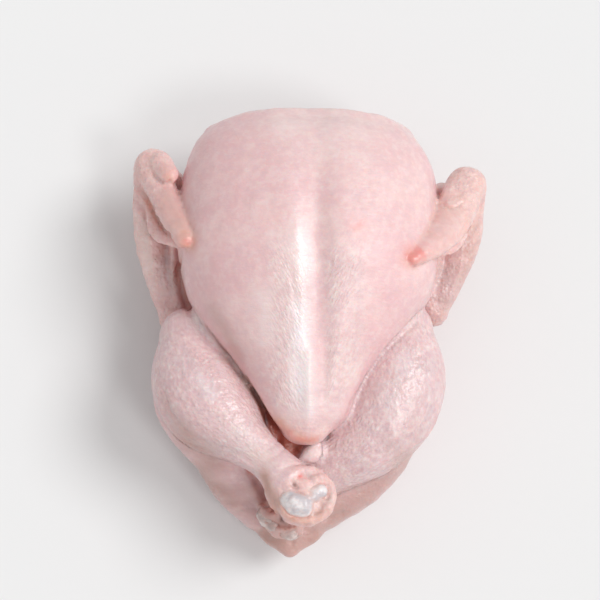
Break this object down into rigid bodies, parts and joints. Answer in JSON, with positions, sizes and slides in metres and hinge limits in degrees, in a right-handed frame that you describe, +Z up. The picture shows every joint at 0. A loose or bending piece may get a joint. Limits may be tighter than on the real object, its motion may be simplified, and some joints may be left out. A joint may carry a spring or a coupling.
{
  "type": "whole raw chicken",
  "caption": "Oven-ready raw chicken on its back: plump breast up, wings folded at the sides, drumsticks crossed over the open vent, fatty tail below.",
  "frame": {"origin": "middle of the bird's box, at the table it lies on", "axes": "+Y along the body to the neck end, +X to the right of a cook who stands at the tail, +Z up from the back to the breast"},
  "size_m": [0.2012, 0.2502, 0.1174],
  "materials": {
    "skin": "moist, softly glossy raw poultry skin, pale pink with creamy and blue-grey patches",
    "cartilage": "wet, smooth, grey-white gristle"
  },
  "bodies": {
    "root": {"carcass": "skin", "left_hock": "cartilage", "right_hock": "cartilage"}
  },
  "joints": []
}
